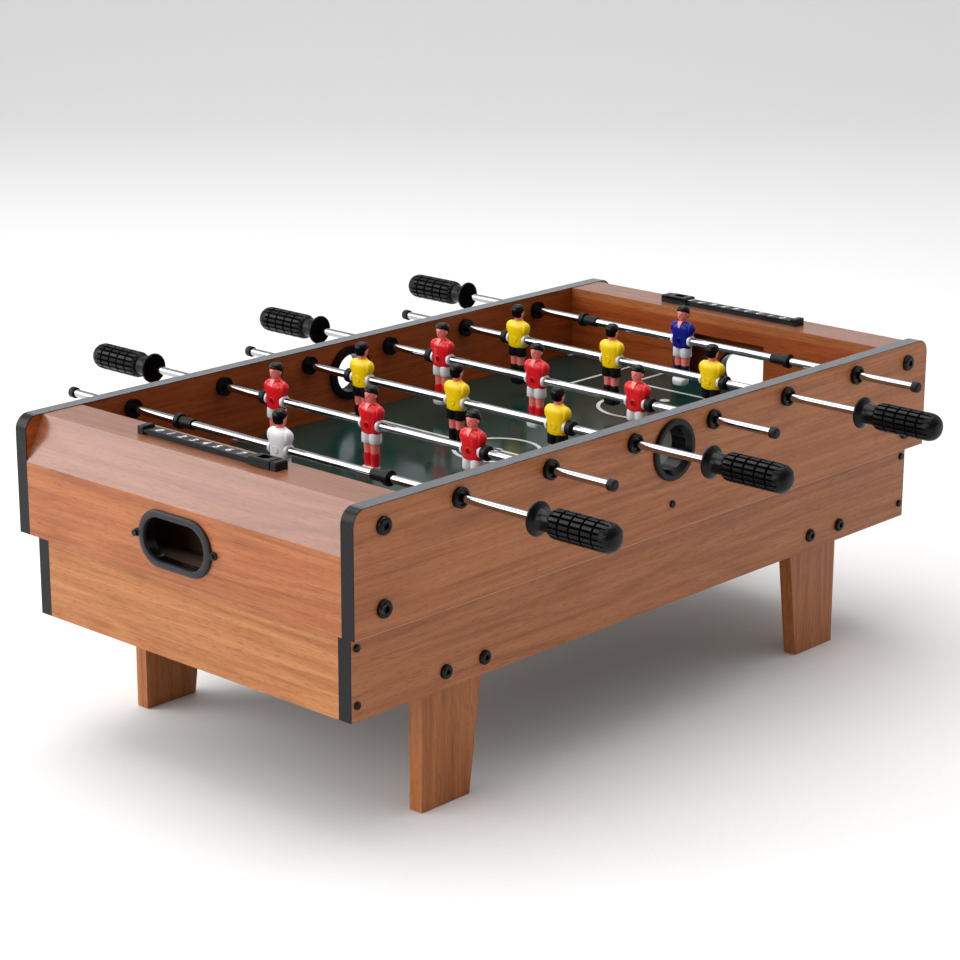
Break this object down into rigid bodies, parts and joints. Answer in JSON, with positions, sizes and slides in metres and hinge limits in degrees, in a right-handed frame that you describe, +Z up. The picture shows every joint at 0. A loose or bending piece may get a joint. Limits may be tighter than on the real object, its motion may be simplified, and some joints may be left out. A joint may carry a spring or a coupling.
{
  "type": "tabletop football table",
  "caption": "Tabletop football game: wooden cabinet on board legs, sliding and spinning steel rods with moulded players, ball returns, serve holes and sliding score counters.",
  "frame": {"origin": "on the floor, under the middle of the table", "axes": "+X along the table from one goal to the other, +Y across it along the rods, +Z up"},
  "size_m": [0.6984, 0.657, 0.2737],
  "materials": {
    "walnut": "printed wood-grain film over board, satin",
    "raw_wood": "plain fibreboard and pine",
    "black_edge": "black edging strip, soft sheen",
    "field_green": "very dark green glossy laminate with white lines",
    "dark_plastic": "dark grey moulded plastic",
    "black_plastic": "black moulded plastic",
    "black_rubber": "black rubber",
    "chrome_rod": "polished steel tube",
    "bolt_steel": "blackened steel",
    "figure_white": "painted plastic figure, white kit",
    "figure_red": "painted plastic figure, red shirt",
    "figure_yellow": "painted plastic figure, yellow shirt",
    "figure_blue": "painted plastic figure, blue shirt"
  },
  "bodies": {
    "cabinet": {"side_panel_front": "walnut", "side_panel_back": "walnut", "edge_bands": "black_edge", "lower_side_boards": "walnut", "lower_end_boards": "walnut", "end_cover_left": "walnut", "end_cover_right": "walnut", "goal_walls": "walnut", "playfield": "field_green", "inner_blocks": "raw_wood", "ball_trays": "raw_wood", "legs": "walnut", "leg_bolts": "bolt_steel", "panel_bolts": "bolt_steel", "frame_nuts": "bolt_steel", "wood_screws": "bolt_steel", "return_rings": "dark_plastic", "serve_cups": "black_plastic", "serve_ring_nuts": "black_plastic", "rod_bushings": "black_plastic", "bushing_nuts": "black_plastic", "score_rails": "dark_plastic"},
    "score_slider_left": {"score_slider_left": "black_plastic"},
    "score_slider_right": {"score_slider_right": "black_plastic"},
    "rod_1_carrier": {"rod_1_bumpers": "black_rubber"},
    "rod_1": {"rod_1_tube": "chrome_rod", "rod_1_handle": "black_plastic", "rod_1_end_cap": "black_rubber", "rod_1_players": "figure_white", "rod_1_player_screws": "bolt_steel"},
    "rod_2_carrier": {"rod_2_bumpers": "black_rubber"},
    "rod_2": {"rod_2_tube": "chrome_rod", "rod_2_handle": "black_plastic", "rod_2_end_cap": "black_rubber", "rod_2_players": "figure_red", "rod_2_player_screws": "bolt_steel"},
    "rod_3_carrier": {"rod_3_bumpers": "black_rubber"},
    "rod_3": {"rod_3_tube": "chrome_rod", "rod_3_handle": "black_plastic", "rod_3_end_cap": "black_rubber", "rod_3_players": "figure_yellow", "rod_3_player_screws": "bolt_steel"},
    "rod_4_carrier": {"rod_4_bumpers": "black_rubber"},
    "rod_4": {"rod_4_tube": "chrome_rod", "rod_4_handle": "black_plastic", "rod_4_end_cap": "black_rubber", "rod_4_players": "figure_red", "rod_4_player_screws": "bolt_steel"},
    "rod_5_carrier": {"rod_5_bumpers": "black_rubber"},
    "rod_5": {"rod_5_tube": "chrome_rod", "rod_5_handle": "black_plastic", "rod_5_end_cap": "black_rubber", "rod_5_players": "figure_yellow", "rod_5_player_screws": "bolt_steel"},
    "rod_6_carrier": {"rod_6_bumpers": "black_rubber"},
    "rod_6": {"rod_6_tube": "chrome_rod", "rod_6_handle": "black_plastic", "rod_6_end_cap": "black_rubber", "rod_6_players": "figure_blue", "rod_6_player_screws": "bolt_steel"}
  },
  "joints": [
    {"name": "rod_1_slide", "type": "slide", "parent": "cabinet", "child": "rod_1_carrier", "axis": [0, 1, 0], "range_m": [-0.05, 0.05]},
    {"name": "rod_1_spin", "type": "hinge", "parent": "rod_1_carrier", "child": "rod_1", "pos_m": [-0.24, 0, 0.243], "axis": [0, 1, 0], "continuous": true},
    {"name": "rod_2_slide", "type": "slide", "parent": "cabinet", "child": "rod_2_carrier", "axis": [0, 1, 0], "range_m": [-0.043, 0.043]},
    {"name": "rod_2_spin", "type": "hinge", "parent": "rod_2_carrier", "child": "rod_2", "pos_m": [-0.144, 0, 0.243], "axis": [0, 1, 0], "continuous": true},
    {"name": "rod_3_slide", "type": "slide", "parent": "cabinet", "child": "rod_3_carrier", "axis": [0, 1, 0], "range_m": [-0.043, 0.043]},
    {"name": "rod_3_spin", "type": "hinge", "parent": "rod_3_carrier", "child": "rod_3", "pos_m": [-0.048, 0, 0.243], "axis": [0, 1, 0], "continuous": true},
    {"name": "rod_4_slide", "type": "slide", "parent": "cabinet", "child": "rod_4_carrier", "axis": [0, 1, 0], "range_m": [-0.043, 0.043]},
    {"name": "rod_4_spin", "type": "hinge", "parent": "rod_4_carrier", "child": "rod_4", "pos_m": [0.048, 0, 0.243], "axis": [0, 1, 0], "continuous": true},
    {"name": "rod_5_slide", "type": "slide", "parent": "cabinet", "child": "rod_5_carrier", "axis": [0, 1, 0], "range_m": [-0.043, 0.043]},
    {"name": "rod_5_spin", "type": "hinge", "parent": "rod_5_carrier", "child": "rod_5", "pos_m": [0.144, 0, 0.243], "axis": [0, 1, 0], "continuous": true},
    {"name": "rod_6_slide", "type": "slide", "parent": "cabinet", "child": "rod_6_carrier", "axis": [0, 1, 0], "range_m": [-0.05, 0.05]},
    {"name": "rod_6_spin", "type": "hinge", "parent": "rod_6_carrier", "child": "rod_6", "pos_m": [0.24, 0, 0.243], "axis": [0, 1, 0], "continuous": true},
    {"name": "score_slide_left", "type": "slide", "parent": "cabinet", "child": "score_slider_left", "axis": [0, 1, 0], "range_m": [0, 0.1154]},
    {"name": "score_slide_right", "type": "slide", "parent": "cabinet", "child": "score_slider_right", "axis": [0, -1, 0], "range_m": [0, 0.1154]}
  ]
}
